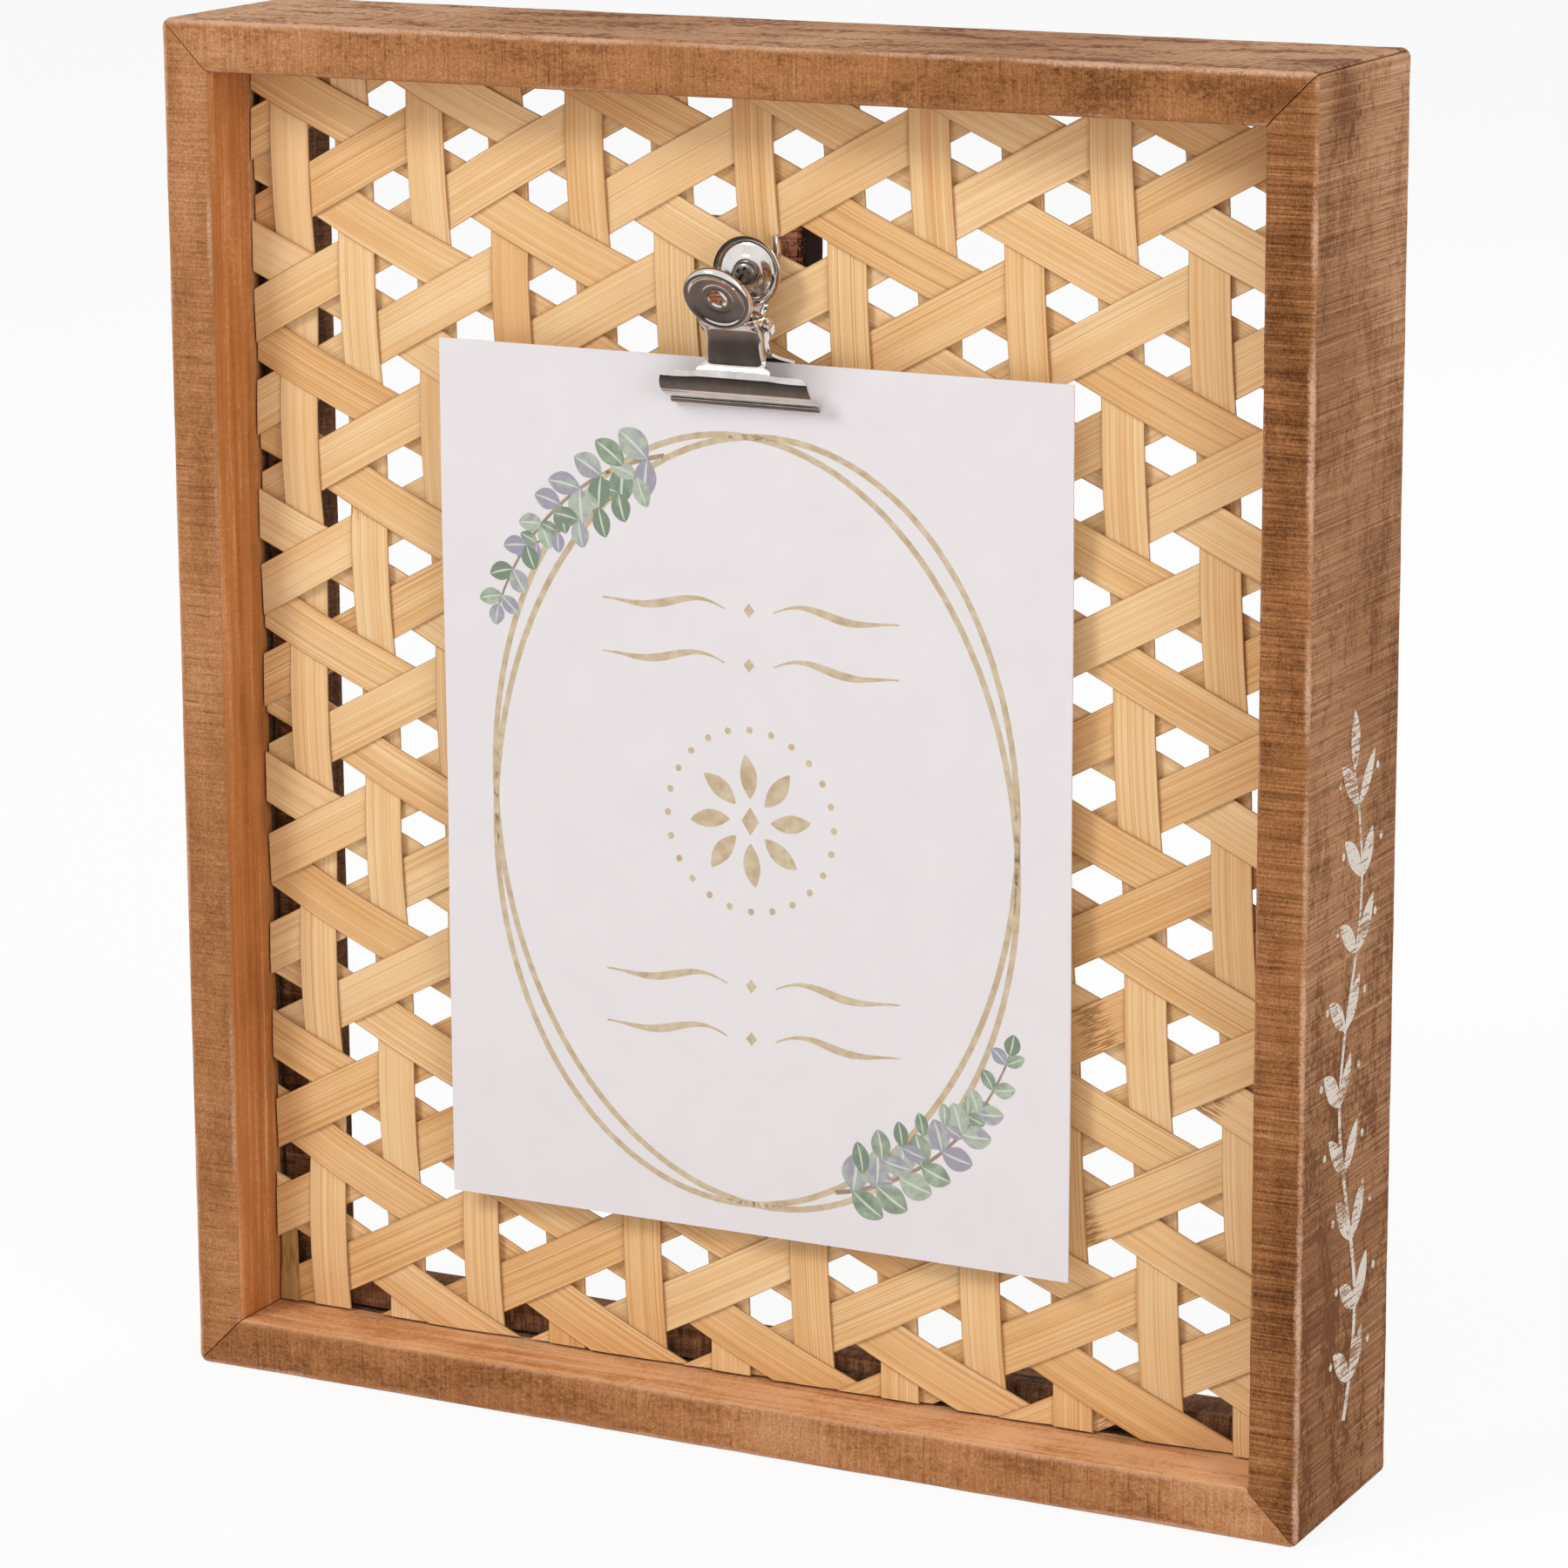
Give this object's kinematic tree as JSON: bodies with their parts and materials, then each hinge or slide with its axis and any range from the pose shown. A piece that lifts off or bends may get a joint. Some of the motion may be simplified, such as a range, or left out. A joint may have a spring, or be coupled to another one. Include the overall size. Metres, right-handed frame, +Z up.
{
  "type": "wooden box picture frame with clip",
  "caption": "Deep wooden box frame round a woven bamboo panel, with a spring clip that holds a card or picture.",
  "frame": {"origin": "on the surface that the frame stands on, under the middle of its bounding box", "axes": "+Z up along the side boards, +X to the right seen from the front, the front faces -Y"},
  "size_m": [0.228, 0.0527, 0.26],
  "materials": {
    "stained_wood": "sawn pine, stained brown and rubbed pale at the edges",
    "batten_wood": "rough sawn, stained dark",
    "bamboo": "split bamboo, planed flat, matt with fine fibres",
    "nickel": "bright nickel plate",
    "steel": "dark zinc plated steel",
    "card": "matt white card with a printed ornament"
  },
  "bodies": {
    "root": {"bottom_board": "stained_wood", "top_board": "stained_wood", "left_board": "stained_wood", "right_board": "stained_wood", "corner_brad_1": "steel", "corner_brad_2": "steel", "corner_brad_3": "steel", "corner_brad_4": "steel", "corner_brad_5": "steel", "corner_brad_6": "steel", "corner_brad_7": "steel", "corner_brad_8": "steel", "bottom_batten": "batten_wood", "left_batten": "batten_wood", "right_batten": "batten_wood", "upright_strand_01": "bamboo", "upright_strand_02": "bamboo", "upright_strand_03": "bamboo", "upright_strand_04": "bamboo", "upright_strand_05": "bamboo", "upright_strand_06": "bamboo", "upright_strand_07": "bamboo", "upright_strand_08": "bamboo", "upright_strand_09": "bamboo", "upright_strand_10": "bamboo", "upright_strand_11": "bamboo", "upright_strand_12": "bamboo", "upright_strand_13": "bamboo", "diagonal_strands": "bamboo", "clip_block": "batten_wood", "clip_back_plate": "nickel", "clip_pin": "nickel", "clip_spring": "steel", "clip_screw": "steel", "sawtooth_hanger": "nickel", "hanger_nail_1": "nickel", "hanger_nail_2": "nickel"},
    "front_jaw": {"clip_front_plate": "nickel"},
    "card": {"card": "card"}
  },
  "joints": [
    {"name": "front_jaw_hinge", "type": "hinge", "parent": "root", "child": "front_jaw", "pos_m": [0.0021, -0.01348, 0.20947], "axis": [-1, 0, 0], "range_deg": [0, 28], "stiffness_Nm_per_rad": 0.1, "springref_deg": -17.19},
    {"name": "card_slide", "type": "slide", "parent": "root", "child": "card", "axis": [0, 0, -1], "range_m": [0, 0.02]}
  ]
}
